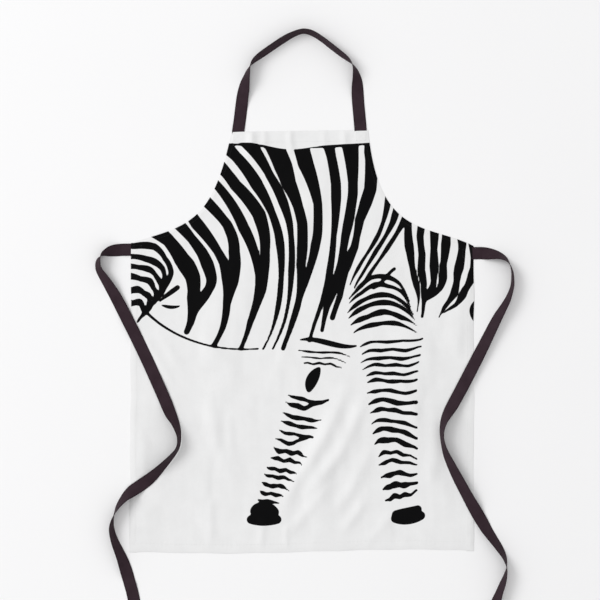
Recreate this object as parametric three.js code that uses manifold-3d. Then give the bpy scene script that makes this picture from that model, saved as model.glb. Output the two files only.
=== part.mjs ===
// A full-length bib apron laid flat, print side up: one cloth panel with its
// hems turned under, a fixed neck loop and two waist ties of woven tape.
// X runs across the apron, Y from the hem to the neck loop, Z up off the table.
import * as THREE from 'three';
import { mergeVertices } from 'three/addons/utils/BufferGeometryUtils.js';
import Module from 'manifold-3d';

const wasm = await Module();
wasm.setup();

// Cloth panel, in millimetres
const panelWidth = 700; // across the skirt
const skirtLength = 629; // bottom edge to the side corners
const bibHeight = 231; // side corners to the bib's top edge
const bibWidth = 278; // along the bib's top edge
const bibShift = -5.4; // the bib lies this far off the skirt's centre line
const cornerSkew = 3.6; // one side corner lies higher and the other lower by this
const tieDrop = 2.4; // from a side corner to the tie's upper edge
const clothThickness = 0.5;
// Handles of each armhole's curve, as shares of its width and its height
const armholeHold = [0.14, 0.86];
const armholeSweep = [0.46, 0.82];
const armholeSteps = 26;

// Hems, turned under the panel
const topHem = 25;
const sideHem = 15;
const armholeHem = 10;
const bottomHem = 20;
const hemThickness = 1.6; // cloth folded over twice
const pocketFloor = 0.4; // hem cloth left under a tape's end
const layerGap = 0.1; // between flat layers that lie on each other
const seamGap = 0.3; // between pieces that meet edge to edge

// Woven tape of the neck loop and the ties
const tapeWidth = 25;
const tapeThickness = 1;
const strapInset = 1.75; // from a bib corner to the neck tape's outer edge
const neckTuck = 22; // tape inside the top hem
const tieTuck = 30; // tape inside the side hem
const tipFold = 12; // each tie's end is folded back on itself
const loopHeight = 209.2; // bib edge to just above the loop's top edge
const tapeSteps = 2; // tape sections between two points of a route
const clothRide = 3; // a tie that crosses the panel lies this far above it
const edgeRamp = 30; // it climbs onto the panel over this distance

// Sewing
const stitchWidth = 0.6;
const stitchHeight = 0.3;
const stitchInset = 2.5; // from a hem's turned edge
const tackSize = 18; // boxed cross that holds a tape's end
const tackInset = 5; // from the panel's side edge
const labelSize = [34, 40]; // blank care label, out of the hem by along it
const labelDrop = 280; // label's middle below the side corner
const labelThickness = 0.3;
const labelTuck = 10; // label inside the hem

// Places that follow from the sizes
const halfPanel = panelWidth / 2;
const bottomY = -(skirtLength + bibHeight + loopHeight) / 2;
const bibTop = bottomY + skirtLength + bibHeight;
const clothBottom = hemThickness + layerGap;
const clothTop = clothBottom + clothThickness;
const tapeBottom = pocketFloor + layerGap;
const sides = { left: -1, right: 1 };
const cornerY = (side) => bottomY + skirtLength - side * cornerSkew;
const strapX = (side) => bibShift + side * (bibWidth / 2 - tapeWidth / 2 - strapInset);
const tieY = (side) => cornerY(side) - tieDrop - tapeWidth / 2;

// Materials
const cloth = { color: 0xeeeeee, roughness: 0.85, metalness: 0 };
const hemCloth = { color: 0xe6e6e4, roughness: 0.88, metalness: 0 };
const tape = { color: 0x342a30, roughness: 0.8, metalness: 0 };
const thread = { color: 0xf2f2f0, roughness: 0.6, metalness: 0 };
const satin = { color: 0xf5f5f2, roughness: 0.45, metalness: 0 };

const apron = new THREE.Group();

function addPiece(name, geometry, look) {
  const mesh = new THREE.Mesh(geometry, new THREE.MeshStandardMaterial(look));
  mesh.name = name;
  apron.add(mesh);
}

// A flat outline given thickness upwards from a height
function plate(outline, bottom, thickness, holes = []) {
  const shape = new THREE.Shape(outline);
  shape.holes = holes.map((hole) => new THREE.Path(hole));
  const settings = { depth: thickness, bevelEnabled: false };
  return new THREE.ExtrudeGeometry(shape, settings).translate(0, 0, bottom);
}

function rectangle(x0, x1, y0, y1) {
  const corners = [[x0, y0], [x1, y0], [x1, y1], [x0, y1]];
  return corners.map(([x, y]) => new THREE.Vector2(x, y));
}

function block(x0, x1, y0, y1, z0, z1) {
  const outline = rectangle(Math.min(x0, x1), Math.max(x0, x1), y0, y1);
  return plate(outline, z0, z1 - z0);
}

function toSolid(geometry) {
  const bare = geometry.clone();
  bare.deleteAttribute('normal');
  bare.deleteAttribute('uv');
  const merged = mergeVertices(bare, 1e-4);
  const mesh = { numProp: 3, vertProperties: merged.attributes.position.array };
  mesh.triVerts = new Uint32Array(merged.index.array);
  return new wasm.Manifold(new wasm.Mesh(mesh));
}

function cutAway(geometry, cutters) {
  let solid = toSolid(geometry);
  for (const cutter of cutters) solid = solid.subtract(toSolid(cutter));
  const mesh = solid.getMesh();
  const result = new THREE.BufferGeometry();
  result.setAttribute('position', new THREE.BufferAttribute(mesh.vertProperties, 3));
  result.setIndex(new THREE.BufferAttribute(mesh.triVerts, 1));
  result.computeVertexNormals();
  return result;
}

// Armhole: one cubic curve from a bib corner to a side corner
function armholeCurve(side) {
  const start = new THREE.Vector2(bibShift + side * bibWidth / 2, bibTop);
  const end = new THREE.Vector2(side * halfPanel, cornerY(side));
  const across = end.x - start.x;
  const down = end.y - start.y;
  const handle = ([x, y]) => new THREE.Vector2(start.x + x * across, start.y + y * down);
  return new THREE.CubicBezierCurve(start, handle(armholeHold), handle(armholeSweep), end);
}

// Where the curve passes a height or a distance from the middle, by halving
function curveShare(curve, isBefore) {
  let low = 0;
  let high = 1;
  for (let turn = 0; turn < 40; turn++) {
    const middle = (low + high) / 2;
    if (isBefore(curve.getPoint(middle))) low = middle;
    else high = middle;
  }
  return low;
}

// Points along an armhole, moved into the panel by an inset
function armholePoints(side, inset, from = 0, to = 1) {
  const curve = armholeCurve(side);
  const points = [];
  for (let step = 0; step <= armholeSteps; step++) {
    const share = from + (to - from) * step / armholeSteps;
    const point = curve.getPoint(share);
    const tangent = curve.getTangent(share);
    const inward = new THREE.Vector2(-tangent.y, tangent.x).multiplyScalar(-side);
    points.push(point.addScaledVector(inward, inset));
  }
  return points;
}

// The front panel, one layer of printed cloth
function frontPanel() {
  const outline = [
    new THREE.Vector2(-halfPanel, bottomY),
    new THREE.Vector2(halfPanel, bottomY),
    ...armholePoints(sides.right, 0).reverse(),
    ...armholePoints(sides.left, 0),
  ];
  return plate(outline, clothBottom, clothThickness);
}

// Room in a hem for a tape's end: clear all round, open at the panel's edge
function neckPocket(side) {
  const half = tapeWidth / 2 + seamGap;
  const x = strapX(side);
  return block(
    x - half, x + half, bibTop - neckTuck - seamGap, bibTop + seamGap,
    pocketFloor, clothBottom,
  );
}

function tiePocket(side) {
  const half = tapeWidth / 2 + seamGap;
  const inner = side * (halfPanel - tieTuck - seamGap);
  const outer = side * (halfPanel + seamGap);
  const y = tieY(side);
  return block(inner, outer, y - half, y + half, pocketFloor, clothBottom);
}

function topHemStrip() {
  const lowest = bibTop - topHem;
  const edge = (side) => {
    const curve = armholeCurve(side);
    return armholePoints(side, 0, 0, curveShare(curve, (point) => point.y > lowest));
  };
  const outline = [...edge(sides.left), ...edge(sides.right).reverse()];
  const strip = plate(outline, 0, hemThickness);
  return cutAway(strip, [neckPocket(sides.left), neckPocket(sides.right)]);
}

// Height at which the armhole hem's turned edge meets the side edge
function armholeHemEnd(side) {
  const tangent = armholeCurve(side).getTangent(1);
  return cornerY(side) - armholeHem / Math.abs(tangent.x);
}

function armholeHemStrip(side) {
  const curve = armholeCurve(side);
  const highest = bibTop - topHem - seamGap;
  const start = curveShare(curve, (point) => point.y > highest);
  const outline = [
    ...armholePoints(side, 0, start),
    new THREE.Vector2(side * halfPanel, armholeHemEnd(side)),
    ...armholePoints(side, armholeHem, start).reverse(),
  ];
  // the turned edge starts lower than the outer edge, so it is cut off level
  const trim = block(
    -halfPanel, halfPanel, highest, bibTop, -seamGap, clothBottom + seamGap,
  );
  return cutAway(plate(outline, 0, hemThickness), [trim, tiePocket(side)]);
}

function sideHemStrip(side) {
  const strip = block(
    side * (halfPanel - sideHem), side * halfPanel,
    bottomY + bottomHem + seamGap, armholeHemEnd(side) - seamGap,
    0, hemThickness,
  );
  const cutters = [tiePocket(side)];
  if (side === sides.left) cutters.push(labelSolid(seamGap, layerGap));
  return cutAway(strip, cutters);
}

function bottomHemStrip() {
  return block(-halfPanel, halfPanel, bottomY, bottomY + bottomHem, 0, hemThickness);
}

// Blank care label held in the left side hem, or with a clearance its slot
function labelSolid(sideRoom = 0, flatRoom = 0) {
  const inner = halfPanel - sideHem;
  const middle = cornerY(sides.left) - labelDrop;
  const half = labelSize[1] / 2 + sideRoom;
  const bottom = (hemThickness - labelThickness) / 2;
  return block(
    -inner - labelTuck - sideRoom, -inner + labelSize[0] + sideRoom,
    middle - half, middle + half, bottom - flatRoom, bottom + labelThickness + flatRoom,
  );
}

// Routes of the tapes. Each row is one point of the tape's centre line and the
// turn of its width about that line in degrees: at 0 it lies flat, at 90 it
// stands on its edge, at 180 it lies flat with its other face up.

// Neck loop: share of half the strap spacing, share of the loop's height, turn
const neckRoute = [
  [-1, 0, 0], [-0.975, 0.107, 0], [-0.952, 0.219, 0], [-0.929, 0.329, -11],
  [-0.907, 0.401, -22], [-0.888, 0.462, -38], [-0.862, 0.523, -56], [-0.838, 0.576, -69],
  [-0.807, 0.624, -84], [-0.76, 0.665, -99], [-0.683, 0.707, -109],
  [-0.569, 0.756, -114], [-0.422, 0.817, -114], [-0.265, 0.879, -114],
  [-0.102, 0.932, -108], [0.061, 0.962, -104], [0.211, 0.942, -107],
  [0.363, 0.887, -107], [0.518, 0.816, -108], [0.669, 0.746, -107], [0.783, 0.693, -100],
  [0.865, 0.641, -83], [0.909, 0.588, -65], [0.93, 0.538, -50], [0.943, 0.487, -35],
  [0.947, 0.421, -18], [0.953, 0.34, -5], [0.966, 0.233, 0], [0.984, 0.117, 0],
  [1, 0, 0],
];

// Ties: millimetres out from the panel's side edge, millimetres up from where
// the tie leaves it, turn
const leftTieRoute = [
  [0, 0, 180], [17.9, -0.3, 180], [34.7, -2.4, 156], [45.7, -5.9, 130],
  [53.6, -9.3, 107], [59.6, -14.4, 82], [64, -23, 63], [64.7, -33.8, 57],
  [61, -44.5, 50], [52.7, -57.6, 41], [41.1, -76.1, 28], [27.3, -100.2, 13],
  [7.6, -138.6, 0], [-13.9, -181.6, 0], [-35.2, -226.1, 0], [-54.5, -269.1, 1],
  [-70, -304.5, -2], [-82.2, -332.3, -28], [-91.6, -349.8, -52], [-97.7, -365.5, -64],
  [-100.4, -378.4, -74], [-100.4, -391.7, -77], [-97.4, -403.7, -76],
  [-90.1, -414.7, -70], [-79.4, -427.2, -62], [-62.1, -445.3, -48], [-42.1, -464.4, -24],
  [-23, -479.1, 0], [-6.7, -489.9, 15], [6.5, -500, 43], [18.2, -513.3, 61],
  [26.1, -525.2, 72], [32.4, -539.6, 86], [35.9, -552.9, 98], [36.7, -568.8, 108],
  [30.5, -593.2, 119], [15.2, -630.6, 142], [2.9, -673.8, 180], [-7.2, -713.7, 180],
  [-19.6, -792.1, 180],
];
const rightTieRoute = [
  [0, 0, 0], [17.4, 0, 0], [33.8, -1.6, -25], [48.5, -4.3, -48], [61.1, -9.9, -64],
  [68.4, -17, -76], [73.2, -25.9, -84], [77, -39.9, -91], [77.6, -58.7, -97],
  [76.1, -70, -100], [72.3, -82.5, -105], [66.5, -96.8, -113], [57.6, -113.2, -122],
  [44.9, -135.9, -135], [21, -184.6, -150], [-3.7, -233.3, -165], [-25.9, -275.9, -164],
  [-43.4, -307.8, -156], [-52.9, -323.1, -140], [-60.9, -338.5, -122],
  [-65.4, -353.8, -110], [-66.6, -369, -103], [-64.5, -384.7, -104],
  [-60.7, -399.2, -111], [-53.9, -416.7, -123], [-35.6, -453.9, -141],
  [-10, -501.3, -154], [12.8, -540.8, -185], [26.5, -564.1, -208], [39.1, -582.6, -223],
  [51.6, -600.7, -233], [61.2, -618, -246], [65.7, -637.4, -262], [62.8, -655.8, -277],
  [56.7, -674.2, -290], [49.6, -693.5, -298], [40.2, -723.9, -325], [35.3, -756.4, -360],
  [32.8, -792.1, -360], [30.6, -815.8, -360],
];

const smoothShare = (value) => {
  const share = Math.min(Math.max(value, 0), 1);
  return share * share * (3 - 2 * share);
};

// Height of what lies under a tie: the panel where it covers the table
function groundUnder(x, y) {
  const sideways = smoothShare((halfPanel + edgeRamp - Math.abs(x)) / edgeRamp);
  const below = smoothShare((y - bottomY + edgeRamp) / edgeRamp);
  return (clothTop + clothRide) * sideways * below;
}

function neckPoints() {
  const spacing = bibWidth / 2 - tapeWidth / 2 - strapInset;
  const last = neckRoute.length - 1;
  return neckRoute.map(([across, up, turn], index) => ({
    x: bibShift + across * spacing,
    y: bibTop + seamGap + up * (loopHeight - seamGap),
    ground: index === 0 || index === last ? tapeBottom : 0,
    turn,
  }));
}

// A tie passes over the panel only after it has turned below its own exit
const tieClear = 2 * tapeWidth;

function tiePoints(side, route) {
  return route.map(([out, up, turn], index) => {
    const x = side * (halfPanel + seamGap + out);
    const y = tieY(side) + up;
    const below = up < -tieClear;
    const ground = index === 0 ? tapeBottom : below ? groundUnder(x, y) : 0;
    return { x, y, ground, turn };
  });
}

// A flat tape carried along its route: at each step its four corners are half
// a width along the turned direction and half a thickness across it, and the
// centre is raised so that the lower edge lies on what is under it. A sewn end
// is cut square to its seam, in the direction given for it
function tapeSolid(points, sewnStart = null, sewnEnd = null) {
  const line = new THREE.CatmullRomCurve3(
    points.map((point) => new THREE.Vector3(point.x, point.y, point.ground)),
    false, 'catmullrom', 0.5,
  );
  const turns = new THREE.CatmullRomCurve3(
    points.map((point) => new THREE.Vector3(point.turn, 0, 0)),
    false, 'catmullrom', 0.5,
  );
  const count = (points.length - 1) * tapeSteps;
  const corners = [[1, 1], [-1, 1], [-1, -1], [1, -1]];
  const positions = [];
  for (let step = 0; step <= count; step++) {
    const centre = line.getPoint(step / count);
    const sewn = step === 0 ? sewnStart : step === count ? sewnEnd : null;
    const along = sewn ?? line.getTangent(step / count).setZ(0).normalize();
    const turn = THREE.MathUtils.degToRad(turns.getPoint(step / count).x);
    const across = new THREE.Vector3(
      -along.y * Math.cos(turn), along.x * Math.cos(turn), Math.sin(turn),
    );
    const through = new THREE.Vector3().crossVectors(along, across);
    centre.z += Math.abs(across.z) * tapeWidth / 2 + Math.abs(through.z) * tapeThickness / 2;
    for (const [wide, thick] of corners) {
      const corner = centre.clone();
      corner.addScaledVector(across, wide * tapeWidth / 2);
      corner.addScaledVector(through, thick * tapeThickness / 2);
      positions.push(corner.x, corner.y, corner.z);
    }
  }
  const faces = [];
  for (let step = 0; step < count; step++) {
    for (let corner = 0; corner < 4; corner++) {
      const here = step * 4 + corner;
      const beside = step * 4 + (corner + 1) % 4;
      // opposite sides are split along parallel diagonals, so a twist keeps them apart
      if (corner < 2) faces.push(here, beside, beside + 4, here, beside + 4, here + 4);
      else faces.push(here, beside, here + 4, beside, beside + 4, here + 4);
    }
  }
  const end = count * 4;
  faces.push(0, 2, 1, 0, 3, 2, end, end + 1, end + 2, end, end + 2, end + 3);
  const geometry = new THREE.BufferGeometry();
  geometry.setAttribute('position', new THREE.Float32BufferAttribute(positions, 3));
  geometry.setIndex(faces);
  return geometry.toNonIndexed();
}

// The tie's end folded back over its last stretch
function tipPoints(points) {
  const end = points[points.length - 1];
  const before = points[points.length - 2];
  const reach = Math.hypot(end.x - before.x, end.y - before.y);
  const backX = (before.x - end.x) / reach;
  const backY = (before.y - end.y) / reach;
  const ground = end.ground + tapeThickness + layerGap;
  return [tipFold, tipFold / 2, 0].map((back) => ({
    x: end.x + backX * back, y: end.y + backY * back, ground, turn: end.turn,
  }));
}

// Sewn-in ends of the tapes, between the panel and the hem
function neckEnd(side) {
  const x = strapX(side);
  return block(
    x - tapeWidth / 2, x + tapeWidth / 2, bibTop - neckTuck, bibTop,
    tapeBottom, tapeBottom + tapeThickness,
  );
}

function tieEnd(side) {
  const y = tieY(side);
  return block(
    side * (halfPanel - tieTuck), side * halfPanel, y - tapeWidth / 2, y + tapeWidth / 2,
    tapeBottom, tapeBottom + tapeThickness,
  );
}

// Boxed cross of stitching: a square with its two diagonals, in one piece
function boxedCross(x, y) {
  const half = tackSize / 2;
  const rib = stitchWidth;
  const inner = half - rib;
  const slant = rib * Math.SQRT1_2;
  const window = [[-(inner - slant), inner], [inner - slant, inner], [0, slant]];
  const holes = [0, 1, 2, 3].map((quarter) => window.map(([u, v]) => (
    new THREE.Vector2(u, v).rotateAround(new THREE.Vector2(), quarter * Math.PI / 2)
  )));
  const outline = rectangle(-half, half, -half, half);
  const height = clothTop + layerGap;
  return plate(outline, height, stitchHeight, holes).translate(x, y, 0);
}

function stitchBlock(x0, x1, y0, y1) {
  const bottom = clothTop + layerGap;
  return block(x0, x1, y0, y1, bottom, bottom + stitchHeight);
}

const topStitchY = bibTop - topHem + stitchInset;
const armholeStitchInset = armholeHem - stitchInset;

function topStitching() {
  const edge = (side) => {
    const share = curveShare(armholeCurve(side), (point) => point.y > topStitchY);
    return armholePoints(side, armholeStitchInset, share, 1)[0].x;
  };
  const half = stitchWidth / 2;
  return stitchBlock(edge(sides.left), edge(sides.right), topStitchY - half, topStitchY + half);
}

function armholeStitching(side) {
  const curve = armholeCurve(side);
  const start = curveShare(curve, (point) => point.y > topStitchY - stitchInset);
  const limit = halfPanel - tackInset - tackSize;
  const stop = curveShare(curve, (point) => Math.abs(point.x) < limit);
  const half = stitchWidth / 2;
  const outline = [
    ...armholePoints(side, armholeStitchInset - half, start, stop),
    ...armholePoints(side, armholeStitchInset + half, start, stop).reverse(),
  ];
  return plate(outline, clothTop + layerGap, stitchHeight);
}

const bottomStitchY = bottomY + bottomHem - stitchInset;

function sideStitching(side) {
  const x = side * (halfPanel - sideHem + stitchInset);
  const half = stitchWidth / 2;
  const highest = tieY(side) - tackSize / 2 - stitchWidth;
  return stitchBlock(x - half, x + half, bottomStitchY + stitchWidth, highest);
}

function bottomStitching() {
  const half = stitchWidth / 2;
  const reach = halfPanel - stitchWidth;
  return stitchBlock(-reach, reach, bottomStitchY - half, bottomStitchY + half);
}

addPiece('front_panel', frontPanel(), cloth);
addPiece('top_hem', topHemStrip(), hemCloth);
addPiece('bottom_hem', bottomHemStrip(), hemCloth);
addPiece('top_hem_stitching', topStitching(), thread);
addPiece('bottom_hem_stitching', bottomStitching(), thread);
addPiece('care_label', labelSolid(), satin);
const up = new THREE.Vector3(0, 1, 0);
addPiece('neck_strap', tapeSolid(neckPoints(), up, up.clone().negate()), tape);

const tieRoutes = { left: leftTieRoute, right: rightTieRoute };
for (const [name, side] of Object.entries(sides)) {
  const route = tiePoints(side, tieRoutes[name]);
  addPiece(`${name}_armhole_hem`, armholeHemStrip(side), hemCloth);
  addPiece(`${name}_side_hem`, sideHemStrip(side), hemCloth);
  addPiece(`${name}_armhole_stitching`, armholeStitching(side), thread);
  addPiece(`${name}_side_stitching`, sideStitching(side), thread);
  addPiece(`neck_strap_${name}_end`, neckEnd(side), tape);
  addPiece(`neck_${name}_tack`, boxedCross(strapX(side), bibTop - tackSize / 2 - stitchInset), thread);
  addPiece(`${name}_tie`, tapeSolid(route, new THREE.Vector3(side, 0, 0)), tape);
  addPiece(`${name}_tie_end`, tieEnd(side), tape);
  addPiece(`${name}_tie_tip`, tapeSolid(tipPoints(route)), tape);
  addPiece(`waist_${name}_tack`, boxedCross(side * (halfPanel - tackInset - tackSize / 2), tieY(side)), thread);
}

export default apron;
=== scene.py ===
import math

import bpy
import numpy as np
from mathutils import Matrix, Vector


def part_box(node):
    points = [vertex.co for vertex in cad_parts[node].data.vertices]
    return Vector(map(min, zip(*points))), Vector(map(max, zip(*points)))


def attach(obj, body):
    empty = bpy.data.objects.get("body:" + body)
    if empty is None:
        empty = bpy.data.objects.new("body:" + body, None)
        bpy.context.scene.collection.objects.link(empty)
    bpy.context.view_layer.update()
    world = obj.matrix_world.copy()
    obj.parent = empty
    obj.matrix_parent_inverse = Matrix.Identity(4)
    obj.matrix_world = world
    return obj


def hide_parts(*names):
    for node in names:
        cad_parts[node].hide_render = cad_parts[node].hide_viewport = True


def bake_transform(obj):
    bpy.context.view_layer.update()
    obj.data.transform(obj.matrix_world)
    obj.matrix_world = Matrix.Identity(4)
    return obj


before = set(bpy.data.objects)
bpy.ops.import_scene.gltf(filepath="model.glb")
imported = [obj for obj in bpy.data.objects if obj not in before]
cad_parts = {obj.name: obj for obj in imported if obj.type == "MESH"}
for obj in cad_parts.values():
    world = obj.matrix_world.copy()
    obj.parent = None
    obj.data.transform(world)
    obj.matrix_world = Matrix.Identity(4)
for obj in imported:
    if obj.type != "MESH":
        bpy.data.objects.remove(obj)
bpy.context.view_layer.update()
scene = bpy.context.scene

cameraPlan = {
    "spot": (-0.0043, -0.0195, 3.06),  # straight above the apron
    "lens": 90,
    "sensor": 36,
}

lightPlan = {
    "skyStrength": 0.76,
    "skyColor": (1.0, 1.0, 1.0, 1),
    "spot": (-6.9, 3.2, 6.5),  # large soft box off to the left, a little above
    "size": 5.0,
    "power": 430,
}


def makeCamera():
    # looks straight down; the view's width on the table is height * sensor / lens
    data = bpy.data.cameras.new("camera")
    data.lens = cameraPlan["lens"]
    data.sensor_width = cameraPlan["sensor"]
    data.clip_start, data.clip_end = 0.05, 60
    camera = bpy.data.objects.new("camera", data)
    camera.location = cameraPlan["spot"]
    scene.collection.objects.link(camera)
    scene.camera = camera


def makeLights():
    # an even sky, and a lamp whose tilt is the arc cosine of its height over its distance
    # and whose heading is its bearing plus a quarter turn
    world = bpy.data.worlds.new("studio")
    world.use_nodes = True
    sky = world.node_tree.nodes["Background"]
    sky.inputs["Color"].default_value = lightPlan["skyColor"]
    sky.inputs["Strength"].default_value = lightPlan["skyStrength"]
    scene.world = world
    data = bpy.data.lights.new("softBox", "AREA")
    data.shape = "DISK"
    data.size = lightPlan["size"]
    data.energy = lightPlan["power"]
    lamp = bpy.data.objects.new("softBox", data)
    spot = np.array(lightPlan["spot"])
    lamp.location = spot
    away = spot / np.linalg.norm(spot)  # the lamp's -Z looks at the middle of the table
    lamp.rotation_euler = (math.acos(away[2]), 0, math.atan2(away[1], away[0]) + math.pi / 2)
    scene.collection.objects.link(lamp)
    scene.view_settings.view_transform = "Standard"
    scene.view_settings.look = "None"


makeCamera()
makeLights()
print("stage: camera and lights")


def ease(value):
    # 3v^2 - 2v^3 with v held between 0 and 1
    share = np.clip(value, 0, 1)
    return share * share * (3 - 2 * share)


def routeCurve(rows, steps):
    # Catmull-Rom: each span is the cubic through its two rows whose slopes are half the
    # difference of the rows on either side; the first and last rows are mirrored outwards
    rows = np.asarray(rows, float)
    before = np.vstack([2 * rows[0] - rows[1], rows[:-1]])
    after = np.vstack([rows[1:], 2 * rows[-1] - rows[-2]])
    slope = (after - before) / 2
    t = np.linspace(0, 1, steps, endpoint=False)[None, :, None]
    here, there = rows[:-1, None], rows[1:, None]
    leave, arrive = slope[:-1, None], slope[1:, None]
    spans = (
        (2 * t**3 - 3 * t**2 + 1) * here + (t**3 - 2 * t**2 + t) * leave
        + (3 * t**2 - 2 * t**3) * there + (t**3 - t**2) * arrive
    )
    return np.vstack([spans.reshape(-1, rows.shape[1]), rows[-1:]])


def bezier(handles, t):
    # (1-t)^3 a + 3t(1-t)^2 b + 3t^2(1-t) c + t^3 d for handles a, b, c, d
    a, b, c, d = np.asarray(handles, float)
    t = np.asarray(t, float)[:, None]
    return (1 - t)**3 * a + 3 * t * (1 - t)**2 * b + 3 * t * t * (1 - t) * c + t**3 * d


def alongLine(line):
    # running length at each point of a line
    return np.concatenate([[0], np.cumsum(np.linalg.norm(np.diff(line, axis=0), axis=1))])


def readOff(rows, run, wanted):
    # rows of values known at some lengths, read off at others in straight steps
    return np.stack([np.interp(wanted, run, axis) for axis in np.asarray(rows).T], 1)


def evenLine(line, count):
    # the same line with its points evenly spaced
    run = alongLine(line)
    return readOff(line, run, np.linspace(0, run[-1], count))


def unit(vectors):
    # each vector over its own length
    return vectors / np.linalg.norm(vectors, axis=-1, keepdims=True)


def leftward(slope):
    # unit directions a quarter turn left of flat ones: (-y, x)
    slope = unit(slope)
    return np.stack([-slope[:, 1], slope[:, 0]], 1)


blockSize = 20000  # spots measured against a line in one go


def nearest(spots, line):
    # distance from each spot to the closest point of a finely sampled line, and that
    # point's share of the line
    gap = np.empty(len(spots))
    share = np.empty(len(spots))
    for first in range(0, len(spots), blockSize):
        block = spots[first:first + blockSize]
        square = ((block[:, None, :] - line[None, :, :])**2).sum(2)
        closest = square.argmin(1)
        gap[first:first + len(block)] = np.sqrt(square[np.arange(len(block)), closest])
        share[first:first + len(block)] = closest / (len(line) - 1)
    return gap, share


def gridFaces(rows, columns, wrapColumns=False):
    # quads of a grid of points, row by row; wrapped, the last column joins the first
    across = columns if wrapColumns else columns - 1
    r, c = np.meshgrid(np.arange(rows - 1), np.arange(across), indexing="ij")
    here, beside = r * columns + c, r * columns + (c + 1) % columns
    return np.stack([here, beside, beside + columns, here + columns], -1).reshape(-1, 4)


def tubeFaces(count, corners):
    # the quads round a row of sections, and one face over each end
    faces = gridFaces(count, corners, True).tolist()
    return faces + [list(range(corners))[::-1], list(range((count - 1) * corners, count * corners))]


def newPiece(name, points, faces, material, smooth=True, closed=False, flat=None, values=None):
    # a mesh object at the origin; a closed one is turned so that its volume is positive,
    # 'flat' gives UVs per point and 'values' named numbers per point
    points = np.asarray(points, float)
    faces = [list(map(int, face)) for face in faces]
    if closed:
        first, second, third = (np.array([face[k] for face in faces]) for k in (0, 1, 2))
        last = np.array([face[-1] for face in faces])
        a, b, c, d = points[first], points[second], points[third], points[last]
        volume = (np.einsum("ij,ij->i", a, np.cross(b, c)) + np.einsum("ij,ij->i", a, np.cross(c, d))).sum()
        if volume < 0:
            faces = [face[::-1] for face in faces]
    mesh = bpy.data.meshes.new(name)
    mesh.from_pydata(points.tolist(), [], faces)
    mesh.validate()
    if flat is not None:
        corner = np.empty(len(mesh.loops), np.int32)
        mesh.loops.foreach_get("vertex_index", corner)
        layer = mesh.uv_layers.new(name="tapeMap")
        layer.data.foreach_set("uv", np.asarray(flat, np.float32)[corner].ravel())
    for label, numbers in (values or {}).items():
        layer = mesh.attributes.new(label, "FLOAT", "POINT")
        layer.data.foreach_set("value", np.asarray(numbers, np.float32))
    mesh.polygons.foreach_set("use_smooth", np.full(len(mesh.polygons), smooth))
    mesh.materials.append(material)
    mesh.update()
    piece = bpy.data.objects.new(name, mesh)
    scene.collection.objects.link(piece)
    return piece


class Nodes:
    # short hands for wiring a material's nodes
    def __init__(self, name):
        self.material = bpy.data.materials.new(name)
        self.material.use_nodes = True
        self.tree = self.material.node_tree
        self.shader = self.tree.nodes["Principled BSDF"]

    def add(self, kind, inputs=None, **settings):
        node = self.tree.nodes.new("ShaderNode" + kind)
        for key, value in settings.items():
            setattr(node, key, value)
        for key, value in (inputs or {}).items():
            self.put(node.inputs[key], value)
        return node

    def put(self, socket, value):
        if isinstance(value, bpy.types.NodeSocket):
            self.tree.links.new(value, socket)
        else:
            socket.default_value = value

    def sum(self, operation, *values):
        node = self.add("Math", operation=operation)
        for socket, value in zip(node.inputs, values):
            self.put(socket, value)
        return node.outputs[0]

    def weigh(self, *pairs):
        # the sum of each value times its weight
        total = None
        for value, weight in pairs:
            part = value if weight == 1 else self.sum("MULTIPLY", value, weight)
            total = part if total is None else self.sum("ADD", total, part)
        return total

    def noise(self, where, scale, detail=2.0, rough=0.5):
        keys = {"Vector": where, "Scale": scale, "Detail": detail, "Roughness": rough}
        return self.add("TexNoise", keys).outputs["Fac"]

    def stretch(self, where, factors):
        return self.add("Mapping", {"Vector": where, "Scale": factors}).outputs["Vector"]

    def between(self, value, low, high, newLow=0.0, newHigh=1.0):
        keys = {"Value": value, "From Min": low, "From Max": high, "To Min": newLow, "To Max": newHigh}
        return self.add("MapRange", keys).outputs["Result"]

    def blend(self, share, first, second):
        node = self.add("Mix", data_type="RGBA")
        for socket, value in zip([node.inputs[0], node.inputs[6], node.inputs[7]], [share, first, second]):
            self.put(socket, value)
        return node.outputs[2]

    def shade(self, inputs):
        for key, value in inputs.items():
            self.put(self.shader.inputs[key], value)
        return self.material

    def bump(self, height, distance, strength=1.0, under=None):
        node = self.add("Bump", {"Height": height, "Distance": distance, "Strength": strength})
        if under is not None:
            self.put(node.inputs["Normal"], under)
        return node.outputs["Normal"]


def plainWeave(nodes, pitch):
    # over-and-under height of a plain weave: the product of two sines half a thread apart,
    # with the threads wandering a little
    place = nodes.add("TexCoord").outputs["Object"]
    drift = nodes.add("TexNoise", {"Vector": place, "Scale": 90.0, "Detail": 1.0}).outputs["Color"]
    bent = nodes.add("VectorMath", {0: drift, 1: (pitch * 0.9,) * 3}, operation="MULTIPLY").outputs[0]
    bent = nodes.add("VectorMath", {0: place, 1: bent}, operation="ADD").outputs[0]
    axes = nodes.add("SeparateXYZ", {0: bent}).outputs
    turn = math.pi / pitch
    warp = nodes.sum("SINE", nodes.sum("MULTIPLY", axes[0], turn))
    weft = nodes.sum("SINE", nodes.sum("MULTIPLY", axes[1], turn))
    ribs = nodes.sum("ADD", nodes.sum("ABSOLUTE", warp), nodes.sum("ABSOLUTE", weft))
    return place, nodes.weigh((nodes.sum("MULTIPLY", warp, weft), 1), (ribs, -0.35))


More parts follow.
